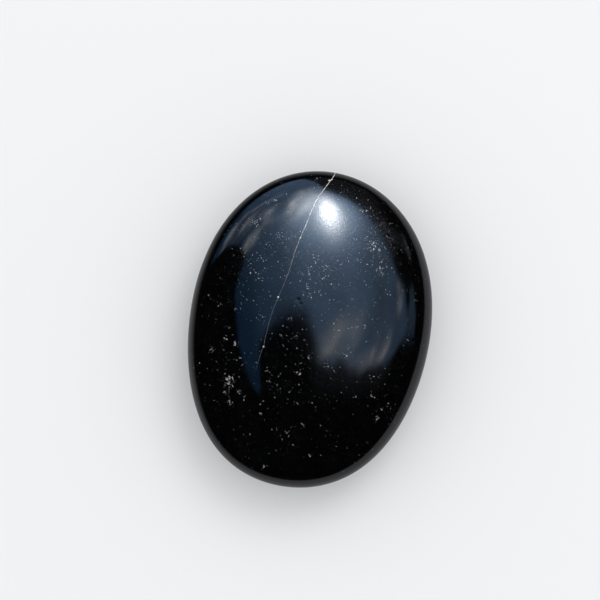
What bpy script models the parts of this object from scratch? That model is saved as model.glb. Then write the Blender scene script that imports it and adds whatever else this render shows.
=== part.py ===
"""Palm stone: an oval pebble of black stone, ground by hand and polished, in one solid piece.

Metres, +Z up. The long axis of the outline lies along Y, with the fuller end at +Y.
The origin is on the surface that the stone rests on, under the middle of its outline.
"""

import math

import bmesh
import bpy
from mathutils import Vector

COLLECTION_NAME = "palm_stone"
STONE_NAME = "stone"

# Driving dimensions
LENGTH = 0.0720
WIDTH = 0.0543
CROWN_HEIGHT = 0.0125  # from the girdle up to the top of the dome
BELLY_DEPTH = 0.0120  # from the girdle down to the lowest point, before the flat is ground
REST_CUT = 0.0005  # what the flat spot takes off the belly
REST_ROUNDING = 0.00015  # half of the height over which the flat turns into the belly

# How far the hand-ground form departs from an ellipsoid, as shares of its size
OUTLINE_FULLNESS = 0.0204  # the outline's swell between its ends and its sides
PROFILE_FULLNESS = 0.0200  # the same swell, seen from the side
EGG = 0.0167  # how much wider the +Y half is than the -Y half
THREE_SIDED = 0.0035
FIVE_SIDED = 0.0031
LEAN_TO_SIDE = 0.010  # the dome is a little higher towards +X
LEAN_TO_END = -0.012  # and a little lower towards +Y

# Faces along each side of the cube that the pebble is made from
CUBE_CUTS = 24

# Finish
STONE_COLOUR = (0.010, 0.011, 0.014, 1.0)
STONE_ROUGHNESS = 0.07
STONE_METALLIC = 0.0


def clear_scene():
    for old in list(bpy.data.objects):
        bpy.data.objects.remove(old, do_unlink=True)


def outline_swell(x, y):
    """The outline's departure from an oval that three and five softly flattened sides give it."""
    three_sided = THREE_SIDED * (x**3 - 3 * x * y**2)
    five_sided = FIVE_SIDED * (y**5 - 10 * x**2 * y**3 + 5 * x**4 * y)
    return 1 + three_sided + five_sided


def pebble_point(direction):
    """The point of the whole pebble that a unit direction from its middle leads to, before the flat is cut."""
    x, y, z = direction
    fullness = 1 + 4 * (OUTLINE_FULLNESS * x**2 * y**2 + PROFILE_FULLNESS * z**2 * (x**2 + y**2))
    plan = fullness * outline_swell(x, y)
    half_thickness = (CROWN_HEIGHT + BELLY_DEPTH) / 2 + z * (CROWN_HEIGHT - BELLY_DEPTH) / 2
    lean = 1 + LEAN_TO_SIDE * x + LEAN_TO_END * y
    return Vector(
        (
            WIDTH / 2 * x * plan * (1 + EGG * y),
            LENGTH / 2 * y * plan,
            half_thickness * z * fullness * lean,
        )
    )


def height_over_rest(raw_height):
    """The height above the flat spot, level inside it and rounded into the belly around it."""
    above = raw_height + BELLY_DEPTH - REST_CUT
    if above <= -REST_ROUNDING:
        return 0.0
    if above >= REST_ROUNDING:
        return above
    return (above + REST_ROUNDING) ** 2 / (4 * REST_ROUNDING)


def cube_to_sphere(point):
    """A point of the unit cube, moved out to the unit sphere so that its grid stays even."""
    return Vector(math.tan(part * math.pi / 4) for part in point).normalized()


def stone_mesh():
    pebble = bmesh.new()
    bmesh.ops.create_cube(pebble, size=2)
    bmesh.ops.subdivide_edges(pebble, edges=pebble.edges, cuts=CUBE_CUTS - 1, use_grid_fill=True)
    for vert in pebble.verts:
        point = pebble_point(cube_to_sphere(vert.co))
        vert.co = (point.x, point.y, height_over_rest(point.z))
    centre_outline(pebble)
    mesh = bpy.data.meshes.new(STONE_NAME)
    pebble.to_mesh(mesh)
    pebble.free()
    mesh.shade_smooth()
    return mesh


def centre_outline(pebble):
    """Moves the pebble sideways until the middle of its outline is over the origin."""
    across = [vert.co.x for vert in pebble.verts]
    along = [vert.co.y for vert in pebble.verts]
    middle = Vector(((min(across) + max(across)) / 2, (min(along) + max(along)) / 2, 0))
    bmesh.ops.translate(pebble, verts=pebble.verts, vec=-middle)


def polished_black():
    material = bpy.data.materials.new("polished_black_stone")
    material.use_nodes = True
    finish = material.node_tree.nodes["Principled BSDF"].inputs
    finish["Base Color"].default_value = STONE_COLOUR
    finish["Roughness"].default_value = STONE_ROUGHNESS
    finish["Metallic"].default_value = STONE_METALLIC
    material.diffuse_color = STONE_COLOUR
    return material


def build():
    clear_scene()
    collection = bpy.data.collections.new(COLLECTION_NAME)
    bpy.context.scene.collection.children.link(collection)
    stone = bpy.data.objects.new(STONE_NAME, stone_mesh())
    stone.data.materials.append(polished_black())
    collection.objects.link(stone)


build()
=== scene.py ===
"""The looks of the palm stone: near-black, polished to a mirror, with pale flecks and one fine vein."""

import math

import bmesh
import bpy
import numpy as np
from mathutils import Matrix, Vector
from mathutils.bvhtree import BVHTree


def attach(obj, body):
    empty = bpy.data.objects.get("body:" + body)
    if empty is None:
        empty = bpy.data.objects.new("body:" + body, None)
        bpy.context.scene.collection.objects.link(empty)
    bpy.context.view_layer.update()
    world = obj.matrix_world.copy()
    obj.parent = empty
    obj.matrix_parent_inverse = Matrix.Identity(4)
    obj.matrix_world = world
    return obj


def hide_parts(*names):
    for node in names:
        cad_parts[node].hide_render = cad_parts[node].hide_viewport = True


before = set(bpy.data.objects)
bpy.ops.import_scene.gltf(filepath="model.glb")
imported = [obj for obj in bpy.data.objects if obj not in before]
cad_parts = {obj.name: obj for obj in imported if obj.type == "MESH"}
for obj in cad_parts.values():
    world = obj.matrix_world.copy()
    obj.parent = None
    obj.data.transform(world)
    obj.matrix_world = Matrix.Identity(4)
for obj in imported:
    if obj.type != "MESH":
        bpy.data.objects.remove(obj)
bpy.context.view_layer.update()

MM = 0.001

# The pebble's form, as in the part's source
LENGTH = 0.0720
WIDTH = 0.0543
CROWN_HEIGHT = 0.0125
BELLY_DEPTH = 0.0120
REST_CUT = 0.0005
REST_ROUNDING = 0.00015
OUTLINE_FULLNESS = 0.0204
PROFILE_FULLNESS = 0.0200
EGG = 0.0167
THREE_SIDED = 0.0035
FIVE_SIDED = 0.0031
LEAN_TO_SIDE = 0.010
LEAN_TO_END = -0.012

# Faces along each side of the cube that the pebble is made from
CUBE_CUTS = 92

# The faces round a mark are halved, once for each of these margins
MARK_MARGINS = (1.3 * MM, 0.6 * MM)
MARK_SPREAD = 1.6  # how many times its reach a mark shows
BROAD_MARK = 3  # marks that reach this far, in mm, need no finer faces

# How far the hand-held grinding sank the surface below a perfect curve
GRINDING_WAVE = 0.030 * MM
GRINDING_WAVE_SCALE = 60  # waves a metre
HIGHEST_NOISE = 0.8  # the noise that makes the waves stays below this

# The photograph's frame, and where the stone lies in it
PHOTO_PIXELS = 600
FOCAL_PIXELS = 1774.4
SENSOR_WIDTH = 36
TURN_IN_PHOTO = math.radians(9.7)  # the long axis leans right at its top
CAMERA_LEAN = math.radians(6)  # off the vertical, towards the photograph's lower edge
CAMERA_DISTANCE = 0.40
GIRDLE_HEIGHT = BELLY_DEPTH - REST_CUT
AIM_TO_RIGHT = -2.14 * MM  # what the camera looks at, from the girdle's middle
AIM_TO_TOP = 6.38 * MM

PHOTO_RIGHT = Vector((math.cos(TURN_IN_PHOTO), math.sin(TURN_IN_PHOTO), 0))
PHOTO_TOP = Vector((-math.sin(TURN_IN_PHOTO), math.cos(TURN_IN_PHOTO), 0))


class Amount:
    """A number in a node tree. Arithmetic on it adds the Math nodes that work the sum out."""

    def __init__(self, socket):
        self.socket = socket
        self.bench = Bench(socket.id_data)

    def worked(self, operation, *others):
        return self.bench.math(operation, self, *others)

    def __add__(self, other):
        return self.worked("ADD", other)

    __radd__ = __add__

    def __mul__(self, other):
        return self.worked("MULTIPLY", other)

    def __sub__(self, other):
        return self.worked("SUBTRACT", other)

    def __rsub__(self, other):
        return self.bench.math("SUBTRACT", other, self)

    def __truediv__(self, other):
        return self.worked("DIVIDE", other)

    def __pow__(self, other):
        return self.worked("POWER", other)

    def size(self):
        return self.worked("ABSOLUTE")

    def most(self, other):
        """The larger of the two."""
        return self.worked("MAXIMUM", other)

    def least(self, other):
        """The smaller of the two."""
        return self.worked("MINIMUM", other)

    def rise(self, low, high, out_low=0.0, out_high=1.0):
        """Eases from out_low to out_high while the amount goes from low to high."""
        limits = {"From Min": low, "From Max": high, "To Min": out_low, "To Max": out_high}
        settings = {"interpolation_type": "SMOOTHSTEP"}
        return self.bench.value("ShaderNodeMapRange", settings, {"Value": self, **limits})


class Bench:
    """Adds nodes to one tree: a node's settings go in first, then its sockets' values or links."""

    def __init__(self, tree):
        self.tree = tree

    def node(self, kind, settings=None, sockets=None):
        made = self.tree.nodes.new(kind)
        for name, value in (settings or {}).items():
            if name == "points":
                draw_curve(made.mapping, value)
            else:
                setattr(made, name, value)
        for name, value in (sockets or {}).items():
            source = value.socket if isinstance(value, Amount) else value
            if isinstance(source, bpy.types.NodeSocket):
                self.tree.links.new(source, made.inputs[name])
            else:
                made.inputs[name].default_value = source
        return made

    def value(self, kind, settings=None, sockets=None, output=0):
        return Amount(self.node(kind, settings, sockets).outputs[output])

    def next_step(self, kind, geometry, **sockets):
        """What a node makes of this geometry."""
        return self.node(kind, sockets={"Geometry": geometry, **sockets}).outputs[0]

    def math(self, operation, *amounts):
        return self.value("ShaderNodeMath", {"operation": operation}, dict(enumerate(amounts)))

    def parts(self, vector):
        """The three numbers of a vector."""
        split = self.node("ShaderNodeSeparateXYZ", sockets={0: vector})
        return [Amount(socket) for socket in split.outputs]

    def vector(self, x, y, z):
        return self.node("ShaderNodeCombineXYZ", sockets={0: x, 1: y, 2: z}).outputs[0]

    def vector_math(self, operation, *vectors):
        node = self.node("ShaderNodeVectorMath", {"operation": operation}, dict(enumerate(vectors)))
        return node.outputs["Value" if operation in ("DOT_PRODUCT", "LENGTH", "DISTANCE") else "Vector"]

    def scaled(self, vector, factor):
        sockets = {0: vector, "Scale": factor}
        return self.node("ShaderNodeVectorMath", {"operation": "SCALE"}, sockets).outputs["Vector"]

    def noise(self, vector, scale, detail=2.0, roughness=0.5, output="Fac"):
        sockets = {"Vector": vector, "Scale": scale, "Detail": detail, "Roughness": roughness}
        found = self.node("ShaderNodeTexNoise", sockets=sockets).outputs
        return Amount(found[0]) if output == "Fac" else found["Color"]

    def mix(self, factor, first, second):
        """A colour between two others."""
        node = self.node("ShaderNodeMix", {"data_type": "RGBA"})
        for name, value in (("Factor_Float", factor), ("A_Color", first), ("B_Color", second)):
            socket = next(s for s in node.inputs if s.identifier == name)
            source = value.socket if isinstance(value, Amount) else value
            if isinstance(source, bpy.types.NodeSocket):
                self.tree.links.new(source, socket)
            else:
                socket.default_value = source
        return next(s for s in node.outputs if s.identifier == "Result_Color")


def draw_curve(mapping, points):
    """Lays a Float Curve through the points."""
    curve = mapping.curves[0]
    while len(curve.points) < len(points):
        curve.points.new(0.5, 0.5)
    for knot, (place, height) in zip(curve.points, points):
        knot.location = place, height
        knot.handle_type = "AUTO"
    mapping.use_clip = False
    mapping.update()


def followed(bench, amount, route):
    """The height of a route, given as (place, height) pairs, at this amount along it."""
    first, last = route[0][0], route[-1][0]
    low = min(height for _, height in route)
    high = max(height for _, height in route)
    points = [
        ((place - first) / (last - first), (height - low) / (high - low))
        for place, height in route
    ]
    along = (amount - first) / (last - first)
    lifted = bench.value("ShaderNodeFloatCurve", {"points": points}, {"Value": along.most(0).least(1)})
    return lifted * (high - low) + low


# Camera

def place_camera():
    data = bpy.data.cameras.new("photo_camera")
    data.sensor_width = SENSOR_WIDTH
    data.lens = FOCAL_PIXELS * SENSOR_WIDTH / PHOTO_PIXELS
    camera = bpy.data.objects.new("photo_camera", data)
    bpy.context.scene.collection.objects.link(camera)
    bpy.context.scene.camera = camera
    middle = Vector((0, 0, GIRDLE_HEIGHT))
    back = math.cos(CAMERA_LEAN) * Vector((0, 0, 1)) - math.sin(CAMERA_LEAN) * PHOTO_TOP
    place = middle + CAMERA_DISTANCE * back
    forward = (middle + AIM_TO_RIGHT * PHOTO_RIGHT + AIM_TO_TOP * PHOTO_TOP - place).normalized()
    right = forward.cross(PHOTO_TOP).normalized()
    up = right.cross(forward)
    camera.matrix_world = Matrix.Translation(place) @ Matrix((right, up, -forward)).transposed().to_4x4()
    return camera


camera = place_camera()


def stone_finder():
    """A function that gives the point of the stone which shows at a pixel of the photograph."""
    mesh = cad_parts["stone"].data
    corners = [vert.co for vert in mesh.vertices]
    faces = [list(face.vertices) for face in mesh.polygons]
    surface = BVHTree.FromPolygons(corners, faces)
    turn = camera.matrix_world.to_3x3()
    place = camera.matrix_world.translation

    def find(pixel):
        across, down = pixel[0] - PHOTO_PIXELS / 2, pixel[1] - PHOTO_PIXELS / 2
        ray = turn @ Vector((across, -down, -FOCAL_PIXELS))
        return surface.ray_cast(place, ray.normalized())[0]

    return find


on_stone = stone_finder()


# Marks on the stone, from the photograph

# Where the pale grains lie thickest: pixel of the photograph, reach in mm, share of the grains that show
FLECK_PLACES = [
    ((372, 246), 1.5, 0.8),
    ((367, 248), 0.5, 1.0),
    ((375.5, 247), 0.8, 1.0),
    ((379, 249.5), 0.5, 1.0),
    ((371, 241), 0.4, 0.9),
    ((381, 268), 0.6, 1.0),
    ((382, 274), 0.6, 1.0),
    ((381.5, 261), 0.4, 0.8),
    ((255, 222.5), 0.9, 1.0),
    ((259, 220), 0.5, 1.0),
    ((279, 235), 0.8, 1.0),
    ((268, 203), 0.5, 0.9),
    ((275, 200.5), 0.6, 0.9),
    ((277, 205), 0.4, 0.9),
    ((270, 212), 0.4, 0.9),
    ((308.7, 274), 0.5, 0.8),
    ((308, 287), 0.5, 0.8),
    ((311, 298), 0.5, 0.7),
    ((333, 286), 0.9, 0.5),
    ((229, 381), 1.4, 0.9),
    ((226, 393), 0.7, 0.8),
    ((240, 391), 0.7, 0.8),
    ((243, 399), 0.7, 0.8),
    ((230, 401), 0.8, 0.7),
    ((212, 350), 0.8, 0.7),
    ((226, 338), 0.7, 0.7),
    ((235, 343), 0.7, 0.7),
    ((229, 327), 0.7, 0.6),
    ((299, 373), 0.8, 0.95),
    ((292, 400), 0.5, 0.7),
    ((269, 371), 0.45, 0.6),
    ((268, 382), 0.5, 0.5),
    ((277, 384), 0.45, 0.6),
    ((350.5, 329), 0.5, 0.7),
    ((364.5, 326), 0.5, 0.7),
    ((406.7, 341), 0.5, 0.7),
    ((346, 356), 0.8, 0.6),
    ((326, 366), 0.7, 0.6),
    ((335, 371), 0.7, 0.6),
    ((371, 377), 0.5, 0.6),
    ((375, 397), 0.7, 0.7),
    ((381, 408), 0.5, 0.7),
    ((377, 419), 0.6, 0.8),
    ((362, 210), 0.5, 1.0),
    ((367, 211), 0.5, 0.9),
    ((317, 178.5), 0.6, 0.6),
    ((219.3, 303.6), 0.6, 0.7),
    ((290, 319.3), 0.6, 0.8),
    ((296.4, 336.4), 0.5, 0.8),
    ((280, 335.7), 0.4, 0.7),
    ((308.6, 357), 0.5, 0.7),
    ((287, 432), 0.7, 0.7),
    ((304, 426), 0.6, 0.6),
    ((260.7, 316.4), 0.8, 0.7),
    ((235.4, 309.7), 0.3, 1.0),
    ((239.3, 357), 0.4, 0.8),
    ((242, 365), 0.4, 0.8),
    ((231.4, 405), 0.6, 0.8),
    ((416.6, 299), 0.5, 0.7),
    ((295, 447), 0.5, 0.7),
    ((264, 260), 0.3, 1.0),
    ((260, 413.5), 0.3, 1.0),
    ((247.7, 444), 0.3, 1.0),
    ((310, 455), 0.3, 1.0),
    ((264, 466), 0.3, 1.0),
    ((231, 419), 0.3, 1.0),
    ((222, 365), 7.0, 0.10),
    ((300, 385), 8.0, 0.09),
    ((287, 342), 5.0, 0.09),
    ((265, 265), 9.0, 0.17),
    ((318, 268), 8.0, 0.22),
    ((368, 255), 8.0, 0.20),
    ((335, 235), 6.0, 0.12),
    ((345, 310), 8.0, 0.10),
]

# Where the vein runs, in pixels of the photograph, from the far rim to its tip
VEIN_PIXELS = [
    (335, 174), (331, 180), (323.4, 190), (316.5, 200.5), (312, 210), (306.8, 223),
    (300.5, 237.5), (295, 251.5), (289.5, 269.5), (278.2, 297.7), (270, 319), (265, 339.5),
    (263.5, 346.6), (261, 353), (258, 362.5), (254.6, 374),
]

# Where the vein swells into a knot: pixel, reach in mm
VEIN_KNOTS = [
    ((329.5, 180.5), 0.34),
    ((332, 179.5), 0.2),
    ((300.5, 237.5), 0.2),
    ((278.2, 297), 0.26),
    ((263.5, 346.6), 0.2),
]

# Where the polish is worn and grainy, mostly round the key light's highlight: pixel, reach in mm,
# strength. There the pale dust is also thicker and lighter: painted glints of the key light.
WEAR_AND_GLINT_PLACES = [
    ((343, 222), 9.0, 1.0),
    ((300, 235), 7.0, 0.4),
    ((378, 235), 6.0, 0.9),
    ((270, 255), 8.0, 0.3),
    ((320, 265), 9.0, 0.7),
    ((355, 300), 9.0, 0.35),
]

# Pits that the polish left: pixel, reach in mm, depth in mm
PIT_PLACES = [
    ((298, 300), 0.45, 0.035),
    ((300.5, 304), 0.3, 0.025),
    ((331, 222), 0.2, 0.012),
    ((364, 207), 0.3, 0.015),
    ((384.5, 203), 0.35, 0.03),
    ((295.5, 262), 0.3, 0.02),
    ((352, 299), 0.3, 0.02),
    ((230, 331), 0.35, 0.025),
    ((413, 341), 0.4, 0.03),
    ((286, 420), 0.35, 0.025),
    ((340, 447), 0.4, 0.03),
]


# The stone's form

def sphere_direction(point):
    """Roughly where on the unit sphere the pebble's rule takes this point of the stone from."""
    half_thickness = (CROWN_HEIGHT + BELLY_DEPTH) / 2
    upward = (point.z - GIRDLE_HEIGHT) / half_thickness
    return Vector((point.x / (WIDTH / 2), point.y / (LENGTH / 2), upward)).normalized()


def halve_edges_near(grid, spots):
    """Halves the unit sphere's edges that lie near a spot. Each spot is a direction and a reach."""
    verts = list(grid.verts)
    places = np.array([vert.co[:] for vert in verts])
    near = np.zeros(len(verts), bool)
    for direction, reach in spots:
        near |= np.linalg.norm(places - np.array(direction), axis=1) < reach
    chosen = {vert for vert, is_near in zip(verts, near) if is_near}
    edges = [edge for edge in grid.edges if edge.verts[0] in chosen and edge.verts[1] in chosen]
    bmesh.ops.subdivide_edges(grid, edges=edges, cuts=1, use_grid_fill=True)
    for vert in grid.verts:
        vert.co.normalize()


def sphere_grid():
    """The unit sphere, as an even grid on each face of a cube blown up round, made finer at the marks."""
    grid = bmesh.new()
    bmesh.ops.create_cube(grid, size=2)
    bmesh.ops.subdivide_edges(grid, edges=grid.edges, cuts=CUBE_CUTS - 1, use_grid_fill=True)
    for vert in grid.verts:
        vert.co = Vector(math.tan(part * math.pi / 4) for part in vert.co).normalized()
    spots = []
    for pixel, reach, _ in FLECK_PLACES + PIT_PLACES:
        if reach < BROAD_MARK:
            spots.append((sphere_direction(on_stone(pixel)), MARK_SPREAD * reach * MM))
    for margin in MARK_MARGINS:
        halve_edges_near(grid, [(way, (reach + margin) / (WIDTH / 2)) for way, reach in spots])
    mesh = bpy.data.meshes.new("sphere_grid")
    grid.to_mesh(mesh)
    grid.free()
    return mesh


PEBBLE_INPUTS = {
    "Length": LENGTH,
    "Width": WIDTH,
    "Crown Height": CROWN_HEIGHT,
    "Belly Depth": BELLY_DEPTH,
    "Rest Cut": REST_CUT,
    "Rest Rounding": REST_ROUNDING,
    "Outline Fullness": OUTLINE_FULLNESS,
    "Profile Fullness": PROFILE_FULLNESS,
    "Egg": EGG,
    "Three Sided": THREE_SIDED,
    "Five Sided": FIVE_SIDED,
    "Lean To Side": LEAN_TO_SIDE,
    "Lean To End": LEAN_TO_END,
    "Grinding Wave": GRINDING_WAVE,
    "Grinding Wave Scale": GRINDING_WAVE_SCALE,
}


def pebble_tree():
    """The nodes that turn a unit sphere into the pebble. Each size is an input."""
    tree = bpy.data.node_groups.new("pebble_form", "GeometryNodeTree")
    tree.interface.new_socket(name="Geometry", in_out="INPUT", socket_type="NodeSocketGeometry")
    for name in PEBBLE_INPUTS:
        tree.interface.new_socket(name=name, in_out="INPUT", socket_type="NodeSocketFloat")
    tree.interface.new_socket(name="Material", in_out="INPUT", socket_type="NodeSocketMaterial")
    tree.interface.new_socket(name="Geometry", in_out="OUTPUT", socket_type="NodeSocketGeometry")
    bench = Bench(tree)
    given = bench.node("NodeGroupInput").outputs
    size = {name: Amount(given[name]) for name in PEBBLE_INPUTS}

    direction = bench.node("GeometryNodeInputPosition").outputs[0]
    x, y, z = bench.parts(direction)
    across, along, tall = x * x, y * y, z * z
    level_corners = size["Outline Fullness"] * across * along
    steep_corners = size["Profile Fullness"] * tall * (across + along)
    fullness = (level_corners + steep_corners) * 4 + 1
    three = size["Three Sided"] * x * (across - along * 3)
    five = size["Five Sided"] * y * (along * along - across * along * 10 + across * across * 5)
    plan = fullness * (three + five + 1)
    crown, belly = size["Crown Height"], size["Belly Depth"]
    half_thickness = (crown + belly) / 2 + z * (crown - belly) / 2
    lean = size["Lean To Side"] * x + size["Lean To End"] * y + 1
    wave = bench.noise(bench.scaled(direction, LENGTH / 2), size["Grinding Wave Scale"])
    swell = (wave * 2 - HIGHEST_NOISE * 2) * size["Grinding Wave"]

    above = half_thickness * z * fullness * lean + swell * z + belly - size["Rest Cut"]
    rounding = size["Rest Rounding"]
    eased = ((above + rounding).most(0) ** 2) / (rounding * 4)
    inside = above.worked("LESS_THAN", rounding)
    height = inside * eased + (1 - inside) * above
    place = bench.vector(
        size["Width"] / 2 * x * plan * (size["Egg"] * y + 1) + swell * x,
        size["Length"] / 2 * y * plan + swell * y,
        height,
    )
    shaped = bench.next_step("GeometryNodeSetPosition", given["Geometry"], Position=place)

    box = bench.node("GeometryNodeBoundBox", sockets={"Geometry": shaped}).outputs
    middle = bench.scaled(bench.vector_math("ADD", box["Min"], box["Max"]), -0.5)
    to_centre = bench.vector_math("MULTIPLY", middle, (1, 1, 0))
    centred = bench.next_step("GeometryNodeSetPosition", shaped, Offset=to_centre)
    smooth = bench.next_step("GeometryNodeSetShadeSmooth", centred)
    real = bench.next_step("GeometryNodeRealizeInstances", smooth)
    finished = bench.next_step("GeometryNodeSetMaterial", real, Material=given["Material"])
    bench.node("NodeGroupOutput", sockets={"Geometry": finished})
    return tree


def set_inputs(modifier, values):
    """Gives a Geometry Nodes modifier its inputs, by the socket's own identifier."""
    for item in modifier.node_group.interface.items_tree:
        if item.item_type == "SOCKET" and item.in_out == "INPUT" and item.name in values:
            modifier[item.identifier] = values[item.name]


def made_plain(source, name):
    """A new object with the mesh that the source's modifiers make. The source is removed."""
    graph = bpy.context.evaluated_depsgraph_get()
    mesh = bpy.data.meshes.new_from_object(source.evaluated_get(graph))
    made = bpy.data.objects.new(name, mesh)
    mesh.name = name
    bpy.context.scene.collection.objects.link(made)
    bpy.data.objects.remove(source, do_unlink=True)
    return made


def make_stone(material):
    blank = bpy.data.objects.new("stone_blank", sphere_grid())
    bpy.context.scene.collection.objects.link(blank)
    modifier = blank.modifiers.new("pebble_form", "NODES")
    modifier.node_group = pebble_tree()
    set_inputs(modifier, {**PEBBLE_INPUTS, "Material": material})
    return made_plain(blank, "palm_stone")


# The stone's finish

# Pale grains of three sizes: cells to the mm, one grain to a cell at most
FLECK_CELLS = 3.4
CRUMB_CELLS = 5.5
DUST_CELLS = 8.0
GRAIN_EDGE = 0.12  # how soft a grain's edge is, as a share of a cell

# The share of the cells that hold a grain, away from every mark
LONE_FLECKS = 0.0015
LONE_CRUMBS = 0.009
LONE_DUST = 0.12

# Clusters strewn over the whole stone: cells to the mm, and the share of them that hold a cluster
WILD_CELLS = 0.4
WILD_SHARE = 0.06

# How far the grains' outlines are shaken out of round, in mm, and how finely
SHAKE = 0.14
SHAKE_SCALE = 9.0

# The vein, in mm. The first three are places along the stone from its middle
VEIN_TIP = (-14, -6)  # the vein fades in between these
VEIN_FAINT = (4, 26)  # it gains its full strength between these
VEIN_GROWTH = (2, 34)  # it grows from the one half width to the other between these
VEIN_HALF_WIDTHS = (0.010, 0.060)
VEIN_HEIGHTS = (-4, 6)  # heights between which it fades in above the underside
VEIN_BLUR = 0.04
VEIN_WANDER = 0.36
FAINTNESS = 0.45  # how much of the vein shows where it is faint

# Linear colours
BLACK = (0.0003, 0.0003, 0.0003, 1)
BLACK_MOTTLE = (0.0006, 0.0007, 0.0009, 1)
DUST_COLOUR = (0.60, 0.62, 0.64, 1)
CRUMB_COLOUR = (0.70, 0.71, 0.72, 1)
FLECK_COLOUR = (0.85, 0.85, 0.84, 1)
VEIN_TIP_COLOUR = (0.62, 0.67, 0.72, 1)
VEIN_RIM_COLOUR = (0.78, 0.72, 0.64, 1)

RELIEF = 0.004 * MM
SMEARS = (0.03, 0.055)  # the roughness of the best and the worst polish
FLECK_ROUGHNESS = 0.3
VEIN_ROUGHNESS = 0.3
CRUMB_ROUGHNESS = 0.12


def nearness(places, marks):
    """At each place, the strength of the strongest mark, which falls off round its middle."""
    found = np.zeros(len(places))
    for pixel, reach, strength in marks:
        away = np.linalg.norm(places - np.array(on_stone(pixel)), axis=1) / (reach * MM)
        found = np.maximum(found, strength * np.exp(-away**2))
    return found


def mark_stone(stone):
    """Sinks the pits, and stores how thickly the pale grains lie and how worn the polish is, which also
    sets where the dust carries painted glints.
    """
    mesh = stone.data
    places = np.empty(len(mesh.vertices) * 3)
    mesh.vertices.foreach_get("co", places)
    places = places.reshape(-1, 3)
    outward = np.array([normal.vector[:] for normal in mesh.vertex_normals])
    sunk = places - outward * (nearness(places, PIT_PLACES) * MM)[:, None]
    mesh.vertices.foreach_set("co", sunk.ravel())
    for name, marks in (("fleck_share", FLECK_PLACES), ("wear_share", WEAR_AND_GLINT_PLACES)):
        share = nearness(places, marks).astype(np.float32)
        mesh.attributes.new(name, "FLOAT", "POINT").data.foreach_set("value", share)
    mesh.update()


def stored(bench, name):
    """What mark_stone stored under this name."""
    return bench.value("ShaderNodeAttribute", {"attribute_name": name}, output="Fac")


def vein_route():
    """The vein's line as (distance along the stone, distance across it) pairs, in mm, from tip to rim."""
    points = [on_stone(pixel) for pixel in VEIN_PIXELS]
    return sorted((point.y / MM, point.x / MM) for point in points if point is not None)


def cells(bench, place, scale):
    """Random cells: the distance to the cell's middle, and three lots that are drawn for it."""
    cell = bench.node("ShaderNodeTexVoronoi", sockets={"Vector": place, "Scale": scale}).outputs
    return Amount(cell["Distance"]), *bench.parts(cell["Color"])


def grains(bench, place, scale, share, smallest, largest):
    """Grains of one size: how far one covers this spot, and how light it is.

    The smallest and the largest radius are shares of a cell.
    """
    away, lot, light, girth = cells(bench, place, scale)
    radius = girth * (largest - smallest) + smallest
    cover = (radius - away).rise(0.0, GRAIN_EDGE)
    return cover * lot.worked("LESS_THAN", share), light


def wild_clusters(bench, place):
    """How thickly the grains lie in the clusters that are strewn over the whole stone."""
    away, lot, strength, girth = cells(bench, place, WILD_CELLS)
    reach = girth * 0.25 + 0.12
    inside = (1 - away / reach).rise(0.0, 0.7)
    return inside * strength * lot.worked("LESS_THAN", WILD_SHARE)


def all_clusters(bench, place, shaken):
    """How thickly the grains lie: the broader a mark, the more its grains keep to clumps."""
    marked = stored(bench, "fleck_share")
    ragged = bench.noise(place, 1.6, 2.0, 0.6).rise(0.38, 0.56, 0.15, 1.0)
    clumps = bench.noise(place, 0.8, 3.0, 0.6).rise(0.49, 0.64)
    strewn = marked * (clumps + marked * 2.2).least(1)
    return strewn.most(wild_clusters(bench, shaken) * ragged)


def vein_cover(bench, place):
    """How far the vein covers this spot: a thin sheet through the stone, widest at the +Y end."""
    x, y, z = bench.parts(place)
    wander = (bench.noise(place, 0.8, 4.0, 0.6) - 0.5) * VEIN_WANDER
    aside = (x - followed(bench, y, vein_route()) + wander).size()
    beads = bench.noise(place, 1.9, 3.0, 0.6).rise(0.38, 0.62, 0.25, 1.5)
    half_width = y.rise(*VEIN_GROWTH, *VEIN_HALF_WIDTHS) * beads
    seen = y.rise(*VEIN_TIP) * z.rise(*VEIN_HEIGHTS)
    cover = (half_width - aside).rise(-VEIN_BLUR, VEIN_BLUR)
    return cover * seen * y.rise(*VEIN_FAINT, FAINTNESS, 1.0)


def knots(bench, place):
    """The vein's small knots, where it swells."""
    found = 0.0
    for pixel, reach in VEIN_KNOTS:
        away = Amount(bench.vector_math("DISTANCE", place, on_stone(pixel) / MM))
        found = (away / reach).rise(0.4, 1.0, 1.0, 0.0) + found
    return found


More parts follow.
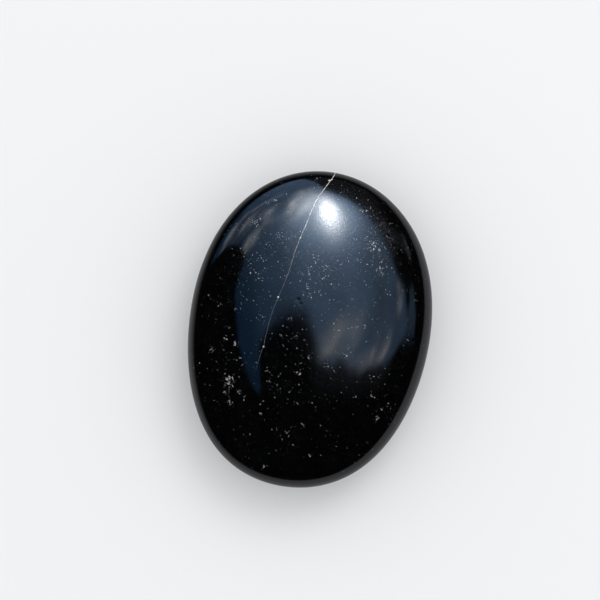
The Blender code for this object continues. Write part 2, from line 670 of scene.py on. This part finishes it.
def polished_stone():
    material = bpy.data.materials.new("polished_black_stone")
    material.use_nodes = True
    tree = material.node_tree
    tree.nodes.clear()
    bench = Bench(tree)
    place = bench.scaled(bench.node("ShaderNodeTexCoord").outputs["Object"], 1 / MM)
    jitter = bench.noise(place, SHAKE_SCALE, 3.0, output="Color")
    centred = bench.vector_math("SUBTRACT", jitter, (0.5, 0.5, 0.5))
    shaken = bench.vector_math("ADD", place, bench.scaled(centred, SHAKE))

    # Worn polish: it strengthens the bump, and where it is high the dust is thicker and lighter, a
    # painted glint of the key light.
    wear_and_glints = stored(bench, "wear_share")
    clusters = all_clusters(bench, place, shaken)
    patches = bench.noise(place, 0.17, 4.0, 0.6).rise(0.52, 0.72)
    smallest, largest = clusters * 0.10 + 0.14, clusters * 0.14 + 0.36
    fleck_share = clusters + LONE_FLECKS
    flecks, fleck_light = grains(bench, shaken, FLECK_CELLS, fleck_share, smallest, largest)
    # Crumbs and dust lie thicker where the polish is worn, partly as painted glints round the key light's
    # highlight.
    crumb_share = clusters * 0.3 + patches * 0.04 + wear_and_glints * 0.09 + LONE_CRUMBS
    crumbs, crumb_light = grains(bench, shaken, CRUMB_CELLS, crumb_share, 0.18, 0.44)
    dust_share = patches * 0.2 + clusters * 0.8 + wear_and_glints * 0.5 + LONE_DUST
    dust, dust_light = grains(bench, place, DUST_CELLS, dust_share, 0.2, 0.45)
    grain = bench.noise(place, 3.0, 3.0, 0.65)
    vein = (vein_cover(bench, place) + knots(bench, shaken)).least(1)

    mottle = bench.noise(place, 0.22, 3.0).rise(0.4, 0.7)
    bloom = bench.noise(place, 0.5, 3.0).rise(0.48, 0.7, 0.1, 1.0)
    warmth = bench.parts(place)[1].rise(-6, 18)
    black = bench.mix(mottle, BLACK, BLACK_MOTTLE)
    grained = bench.mix(grain.rise(0.5, 0.75, 0.0, 0.012) * bloom, black, DUST_COLOUR)
    # The dust is lighter where the polish is worn: partly a painted glint round the key light's
    # highlight.
    dusted = bench.mix(dust * dust_light * (wear_and_glints * 0.15 + 0.05), grained, DUST_COLOUR)
    crumb_cover = crumbs * (crumb_light * crumb_light * 0.8 + clusters * 0.2 + 0.06)
    crumbed = bench.mix(crumb_cover, dusted, CRUMB_COLOUR)
    flecked = bench.mix(flecks * (fleck_light * 0.6 + 0.4), crumbed, FLECK_COLOUR)
    veined = bench.mix(vein, flecked, bench.mix(warmth, VEIN_TIP_COLOUR, VEIN_RIM_COLOUR))

    smear = bench.noise(place, 0.35, 4.0).rise(0.3, 0.7, *SMEARS)
    rough = smear + crumbs * CRUMB_ROUGHNESS + flecks * FLECK_ROUGHNESS + vein * VEIN_ROUGHNESS
    sunk = grain * (wear_and_glints * 3.5 + 1) - dust * (wear_and_glints * 1.8 + 0.5) - crumbs - flecks - vein
    bump = bench.node("ShaderNodeBump", sockets={"Strength": 1.0, "Distance": RELIEF, "Height": sunk})
    finish = bench.node(
        "ShaderNodeBsdfPrincipled",
        sockets={
            "Base Color": veined,
            "Roughness": rough,
            "IOR": 1.5,
            "Coat Weight": 0.05,
            "Coat Roughness": 0.25,
            "Normal": bump.outputs[0],
        },
    )
    bench.node("ShaderNodeOutputMaterial", sockets={"Surface": finish.outputs[0]})
    return material


# Studio

def new_disc(name, radius, height, middle=Vector((0, 0, 0))):
    """A level disc that belongs to the studio."""
    board = bmesh.new()
    bmesh.ops.create_circle(board, cap_ends=True, segments=128, radius=radius)
    mesh = bpy.data.meshes.new(name)
    board.to_mesh(mesh)
    board.free()
    made = bpy.data.objects.new(name, mesh)
    made.location = middle.x, middle.y, height
    bpy.context.scene.collection.objects.link(made)
    return made


def matt_material(name, colour):
    """A material with no gloss. The colour is a value or a function of a bench that gives one."""
    material = bpy.data.materials.new(name)
    material.use_nodes = True
    tree = material.node_tree
    tree.nodes.clear()
    bench = Bench(tree)
    found = colour(bench) if callable(colour) else colour
    finish = bench.node("ShaderNodeBsdfDiffuse", sockets={"Color": found})
    bench.node("ShaderNodeOutputMaterial", sockets={"Surface": finish.outputs[0]})
    return material


def show_to(thing, diffuse=False, glossy=False):
    """Says which rays meet a lamp or a board. The camera sees none of them, and none casts a shadow."""
    thing.visible_camera = False
    thing.visible_diffuse = diffuse
    thing.visible_glossy = glossy
    thing.visible_transmission = False
    thing.visible_volume_scatter = False
    thing.visible_shadow = False


FLOOR_RADIUS = 2.2
FLOOR_COLOUR = (0.90, 0.90, 0.90, 1)
FLOOR_DROP = 0.05 * MM  # keeps the floor from flickering through the stone's flat spot
BOARD_HEIGHT = 0.3 * MM
BOARD_RADIUS = 0.150
BOARD_SHIFT = 0.035  # the board's middle lies this far towards the photograph's lower right
PALE_TO = 0.068  # the board is pale to this far from its middle
BLACK_FROM = 0.1105
BOARD_PALE = (0.42, 0.42, 0.43, 1)
BOARD_BLACK = (0.002, 0.002, 0.002, 1)

LAMP_SIZE = 0.6
LAMP_POWER = 1.8
LAMP_PLACE = 0.35 * PHOTO_RIGHT + 0.55 * PHOTO_TOP + Vector((0, 0, 0.9))


def board_colour(bench):
    """Pale under the stone, easing into black."""
    place = bench.node("ShaderNodeTexCoord").outputs["Object"]
    away = Amount(bench.vector_math("LENGTH", place))
    return bench.mix(away.rise(PALE_TO, BLACK_FROM, 1.0, 0.0), BOARD_BLACK, BOARD_PALE)


def lay_floor():
    """A plain pale floor. Polished surfaces mirror a small board in its place."""
    floor = new_disc("pale_floor", FLOOR_RADIUS, -FLOOR_DROP)
    floor.data.materials.append(matt_material("pale_floor", FLOOR_COLOUR))
    floor.visible_glossy = False
    middle = (PHOTO_RIGHT - PHOTO_TOP).normalized() * BOARD_SHIFT
    board = new_disc("mirrored_board", BOARD_RADIUS, BOARD_HEIGHT, middle)
    board.data.materials.append(matt_material("mirrored_board", board_colour))
    show_to(board, glossy=True)


def hang_soft_lamp():
    """A broad lamp that gives the gentle shadow."""
    data = bpy.data.lights.new("soft_lamp", "AREA")
    data.shape = "DISK"
    data.size = LAMP_SIZE
    data.energy = LAMP_POWER
    lamp = bpy.data.objects.new("soft_lamp", data)
    bpy.context.scene.collection.objects.link(lamp)
    lamp.location = LAMP_PLACE
    lamp.rotation_euler = lamp.location.to_track_quat("Z", "Y").to_euler()
    show_to(lamp, diffuse=True)


# What hangs overhead is mapped in degrees from straight up, to the photograph's right and to its top

KEY_LIGHT = (6.9, 46.3)
KEY_REACH = (3.6, 9.2)
KEY_TURN = 6
KEY_STRENGTH = 45

# The glow round the key light: reach and strength, and its colour near the light and away from it
NEAR_GLOW = (13, 9)
WIDE_GLOW = (28, 0.75)
GLOW_NEAR_COLOUR = (0.82, 1.0, 1.24, 1)
GLOW_AWAY_COLOUR = (0.68, 1.0, 1.46, 1)

# The silk's own colours, from its darkest side to its lightest
SILK_DARK = (0.045, 0.17, 0.40, 1)
SILK_MIDDLE = (0.23, 0.44, 0.80, 1)
SILK_LIGHT = (0.50, 0.84, 1.38, 1)
CLOUD_COLOUR = (4.0, 3.95, 3.8)
GLEAM_COLOUR = (1.0, 1.05, 1.25)
HAZE = 0.08  # the faint gleam just below the silk
RIPPLE = 6  # how far the silk's edges and clouds are rippled
RIPPLE_SCALE = 0.12

# How soft the silk's edges are, in degrees to each side
UPPER_SOFTNESS = 4.0
LEFT_SOFTNESS = 0.8

# The thin sliver past the left edge lies above this line
SLIVER_SLOPE = 0.43
SLIVER_LINE = 73.4

# The turn of the clouds' fibres in radians: level with the zenith, and what each degree adds
FIBRE_TURN = 0.75
FIBRE_TURN_STEP = 0.005

PALE_LIGHT = (0.97, 0.98, 1.0, 1)
PALE_STRENGTH = 0.92

# Edges of the cool silk: (place to the right, edge to the top) pairs
SILK_LOWER_EDGE = [
    (-26, -18), (-22.5, -13), (-21.7, -8), (-21.3, -1), (-20.4, 4), (-17, 7.0), (-12, 9.2),
    (-6, 10.2), (-1, 8), (3, 0), (6, -3.5), (10, -4.5), (14, -4.7), (21, -7.8), (30, -7.7),
    (44, -9.7), (50, -8), (57, -4), (66, -3), (74, -3), (80, -3),
]
SILK_UPPER_EDGE = [
    (-14, 100), (-6, 90), (1, 80), (6, 69), (12, 64), (18, 61), (24, 57), (30, 51), (36, 42.5),
    (41, 34), (45, 27), (48.5, 22.5), (52, 19), (56, 17), (59, 10), (62, 9), (65, 16), (70, 18),
    (75, 10), (78, -12),
]
SILK_LEFT_EDGE = [  # (place to the top, edge to the right)
    (-18, -19), (-13.7, -22), (-12, -24.3), (-5.5, -29.5), (1, -33.2), (5, -35), (9, -36.2),
    (14.3, -38.8), (19.6, -40.3), (25, -38.6), (31, -37.3), (37, -43), (41, -50), (44.3, -59),
    (47, -110),
]

# Thin white clouds of the silk: place, reach along and across, turn, strength
SILK_CLOUDS = [
    ((-7, 56), (21, 14), 66, 1.36),
    ((-11, 50), (14, 9), 70, 0.5),
    ((-28, 50), (14, 8), -55, 0.40),
    ((-36, 39), (12, 6.5), 40, 0.42),
    ((-46, 52), (20, 10), 40, 0.24),
    ((-66, 50), (18, 9), 60, 0.20),
    ((-38, 66), (24, 3), 12, 0.30),
    ((-58, 60), (18, 9), 40, 0.16),
    ((13, 1.8), (15, 7.5), 20, 0.48),
    ((19, 4.0), (6, 4.5), 60, 0.26),
    ((27, -6), (18, 5.5), 6, 0.34),
    ((40.5, -4.5), (10, 5), 42, 0.32),
    ((51.5, 13), (10, 4.5), 88, 0.40),
    ((23, 9), (9, 2.5), 60, 0.09),
    ((30, -7), (8, 2.5), 40, 0.10),
]

# Faint gleams of the silk beyond its edges, in the same terms
SILK_GLEAMS = [
    ((62, 42), (14, 5), -55, 0.10),
    ((68, 6), (11, 6), 85, 0.06),
    ((42, 40), (9, 6), -55, 0.10),
    ((70, 41), (14, 4.5), -80, 0.42),
    ((55, 41), (6, 3), -70, 0.22),
]


def turned(right, top, degrees):
    """The same place, measured along and across a line at this angle."""
    along, across = math.cos(math.radians(degrees)), math.sin(math.radians(degrees))
    return right * along + top * across, top * along - right * across


def hump(bench, amount):
    """A smooth hump, 1 where the amount is 0."""
    return bench.math("EXPONENT", amount * amount * -1)


def distance(along, across):
    return (along * along + across * across).worked("SQRT")


def silk_cover(bench, even, rippled, from_zenith):
    """How far the silk covers this part of the surroundings. Its left and its point are crisp."""
    right, top = rippled
    even_right, even_top = even
    softness = even_right.rise(-20, -12) * 3.2 - even_right.rise(0, 6) * 1.4 + 1.0
    softness = softness + even_right.rise(56, 64) * 3
    over_lower = ((top - followed(bench, right, SILK_LOWER_EDGE)) / softness).rise(-1, 1)
    under_upper = followed(bench, right, SILK_UPPER_EDGE) - top
    past_left = even_right - followed(bench, even_top, SILK_LEFT_EDGE)
    above_sliver = (even_top - even_right * SLIVER_SLOPE - SLIVER_LINE).rise(0, 2)
    sliver = above_sliver * even_right.rise(-60, -55, 1.0, 0.0) * even_top.rise(42.5, 46)
    above_ground = from_zenith.rise(96, 98, 1.0, 0.0)
    inside_upper = under_upper.rise(-UPPER_SOFTNESS, UPPER_SOFTNESS)
    inside_left = past_left.rise(-LEFT_SOFTNESS, LEFT_SOFTNESS)
    return over_lower * inside_upper * inside_left.most(sliver) * above_ground


def cloud_cover(right, top, clouds):
    """How thick these clouds are here."""
    found = 0.0
    for place, reach, degrees, strength in clouds:
        along, across = turned(right - place[0], top - place[1], degrees)
        found = distance(along / reach[0], across / reach[1]).rise(0.0, 1.0, strength, 0.0) + found
    return found


def fibres(bench, right, top):
    """The streaks that the clouds are drawn out into, about 1. They stand steeper towards the top."""
    turn = top * FIBRE_TURN_STEP + FIBRE_TURN
    along = right * turn.worked("COSINE") + top * turn.worked("SINE")
    across = top * turn.worked("COSINE") - right * turn.worked("SINE")
    broad = bench.noise(bench.vector(along * 0.3, across, 0), 0.17, 5.0, 0.65).rise(0.32, 0.66, 0.25, 1.4)
    fine = bench.noise(bench.vector(along * 0.16, across, 5), 0.5, 4.0, 0.65).rise(0.36, 0.64, 0.35, 1.65)
    return broad * fine


def silk_fabric(bench, right, top, rippled, tone):
    """The silk's colour: dark at its lower left, lighter to the upper right, with thin clouds on it."""
    depth = (right * 0.9 + top * 0.5).rise(-32, 26)
    deep = bench.mix(depth.rise(0, 0.35), SILK_DARK, SILK_MIDDLE)
    blue = bench.mix(depth.rise(0.3, 1), deep, SILK_LIGHT)
    clouds = cloud_cover(*rippled, SILK_CLOUDS) * fibres(bench, *rippled)
    shade = right.rise(20, 36, 1.0, 0.68) * right.rise(58, 66, 1.0, 0.55)
    shade = shade * tone.rise(0.3, 0.7, 0.82, 1.18)
    bare = shade * (1 - clouds * top.rise(12, 40, 1.1, 0.0)).most(0.3)
    return bench.vector_math("ADD", bench.scaled(blue, bare), bench.scaled(CLOUD_COLOUR, clouds))


def key_glow(bench, from_key):
    """The light that the worn polish spreads round the key light."""
    glow = hump(bench, from_key / NEAR_GLOW[0]) * NEAR_GLOW[1]
    glow = glow + hump(bench, from_key / WIDE_GLOW[0]) * WIDE_GLOW[1]
    return bench.scaled(bench.mix(from_key.rise(7, 20), GLOW_NEAR_COLOUR, GLOW_AWAY_COLOUR), glow)


def mirrored_light(bench, direction):
    """What a polished surface mirrors: a cool silk overhead, the key light in it, and faint gleams."""
    to_right = Amount(bench.vector_math("DOT_PRODUCT", direction, PHOTO_RIGHT))
    to_top = Amount(bench.vector_math("DOT_PRODUCT", direction, PHOTO_TOP))
    from_zenith = bench.parts(direction)[2].worked("ARCCOSINE") * math.degrees(1)
    spread = from_zenith / distance(to_right, to_top).most(1e-4)
    right, top = to_right * spread, to_top * spread
    ripples = bench.noise(bench.vector(right, top, 0), RIPPLE_SCALE, 4.0, 0.6, output="Color")
    ripple_right, ripple_top, tone = bench.parts(ripples)
    rippled = right + (ripple_right - 0.5) * RIPPLE, top + (ripple_top - 0.5) * RIPPLE

    beside_key = right - KEY_LIGHT[0], top - KEY_LIGHT[1]
    glow = key_glow(bench, distance(*beside_key))
    lit = bench.vector_math("ADD", silk_fabric(bench, right, top, rippled, tone), glow)
    silk = silk_cover(bench, (right, top), rippled, from_zenith)
    across, along = turned(*beside_key, KEY_TURN)
    lamp = hump(bench, distance(across / KEY_REACH[0], along / KEY_REACH[1])) * KEY_STRENGTH
    haze = (top - followed(bench, right, SILK_LOWER_EDGE)).rise(-14, 0)
    haze = haze * right.rise(-10, 4) * right.rise(40, 55, 1, 0)
    gleam = bench.scaled(GLEAM_COLOUR, cloud_cover(*rippled, SILK_GLEAMS) + haze * HAZE)
    dim = bench.vector_math("ADD", gleam, bench.scaled((1.0, 1.0, 1.0), lamp))
    return bench.vector_math("ADD", bench.scaled(lit, silk), dim)


def studio_world():
    """Pale, even light all round, which polished surfaces see as the mirrored light instead."""
    world = bpy.data.worlds.new("studio")
    bpy.context.scene.world = world
    world.use_nodes = True
    tree = world.node_tree
    tree.nodes.clear()
    bench = Bench(tree)
    mirrored = mirrored_light(bench, bench.node("ShaderNodeTexCoord").outputs["Generated"])
    ray = bench.node("ShaderNodeLightPath").outputs["Is Glossy Ray"]
    pale = {"Color": PALE_LIGHT, "Strength": PALE_STRENGTH}
    seen = bench.node("ShaderNodeBackground", sockets=pale).outputs[0]
    dark = bench.node("ShaderNodeBackground", sockets={"Color": mirrored, "Strength": 1.0}).outputs[0]
    both = bench.node("ShaderNodeMixShader", sockets={0: ray, 1: seen, 2: dark})
    bench.node("ShaderNodeOutputWorld", sockets={"Surface": both.outputs[0]})


bpy.context.scene.view_settings.view_transform = "Standard"
stone = make_stone(polished_stone())
mark_stone(stone)
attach(stone, "root")
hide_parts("stone")
lay_floor()
hang_soft_lamp()
studio_world()
